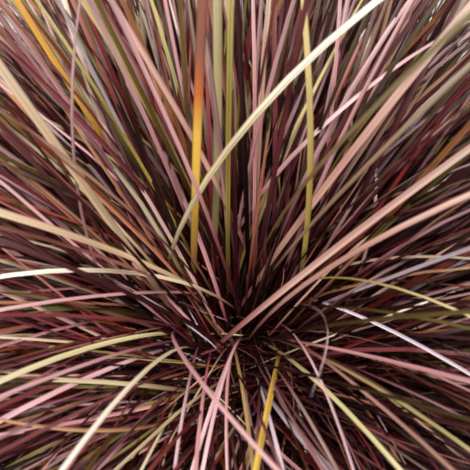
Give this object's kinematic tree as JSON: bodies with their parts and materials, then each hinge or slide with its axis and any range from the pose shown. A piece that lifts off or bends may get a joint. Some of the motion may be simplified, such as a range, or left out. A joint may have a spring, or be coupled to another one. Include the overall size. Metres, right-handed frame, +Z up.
{
  "type": "carex sedge",
  "caption": "Tussock sedge with narrow keeled leaves in bronze, rose, tan and olive, arching out from a dense heart, in a plain round nursery pot.",
  "frame": {"origin": "middle of the pot's flat underside, on the surface that the pot stands on", "axes": "+Z up along the pot's axis; the open parting of the leaves faces -Y"},
  "size_m": [0.6212, 0.5807, 0.4437],
  "materials": {
    "pot": "moulded, matt, nearly black",
    "soil": "damp crumbly potting soil",
    "root_crown": "fibrous old sheaths and roots",
    "leaf_wine": "keeled leaf, wine brown, satin",
    "leaf_rose": "keeled leaf, dusty rose, satin",
    "leaf_bronze": "keeled leaf, bronze brown, satin",
    "leaf_russet": "keeled leaf, russet, satin",
    "leaf_peach": "keeled leaf, peach, satin",
    "leaf_tan": "keeled leaf, tan, satin",
    "leaf_olive": "keeled leaf, olive green, satin",
    "leaf_straw": "keeled leaf, pale straw, satin",
    "leaf_amber": "keeled leaf, amber, satin"
  },
  "bodies": {
    "root": {"pot": "pot", "soil": "soil", "root_crown": "root_crown", "shoot_01": "leaf_olive", "shoot_02": "leaf_peach", "shoot_03": "leaf_peach", "shoot_04": "leaf_wine", "shoot_05": "leaf_olive", "shoot_06": "leaf_olive", "shoot_07": "leaf_olive", "shoot_08": "leaf_peach", "shoot_09": "leaf_wine", "shoot_10": "leaf_olive", "shoot_11": "leaf_straw", "shoot_12": "leaf_tan", "shoot_13": "leaf_tan", "shoot_14": "leaf_olive", "shoot_15": "leaf_rose", "shoot_16": "leaf_peach", "shoot_17": "leaf_olive", "shoot_18": "leaf_amber", "shoot_19": "leaf_bronze", "shoot_20": "leaf_wine", "shoot_21": "leaf_russet", "shoot_22": "leaf_olive", "shoot_23": "leaf_rose", "shoot_24": "leaf_peach", "shoot_25": "leaf_tan", "shoot_26": "leaf_olive", "shoot_27": "leaf_bronze", "shoot_28": "leaf_rose", "shoot_29": "leaf_russet", "shoot_30": "leaf_russet", "shoot_31": "leaf_rose", "shoot_32": "leaf_peach", "shoot_33": "leaf_wine", "shoot_34": "leaf_rose", "shoot_35": "leaf_bronze", "shoot_36": "leaf_straw", "shoot_37": "leaf_russet", "shoot_38": "leaf_olive", "shoot_39": "leaf_rose", "shoot_40": "leaf_peach", "shoot_41": "leaf_wine", "shoot_42": "leaf_rose", "shoot_43": "leaf_bronze", "shoot_44": "leaf_tan", "shoot_45": "leaf_russet", "shoot_46": "leaf_olive", "shoot_47": "leaf_rose", "shoot_48": "leaf_peach", "shoot_49": "leaf_wine", "shoot_50": "leaf_rose", "shoot_51": "leaf_straw", "shoot_52": "leaf_straw"}
  },
  "joints": []
}
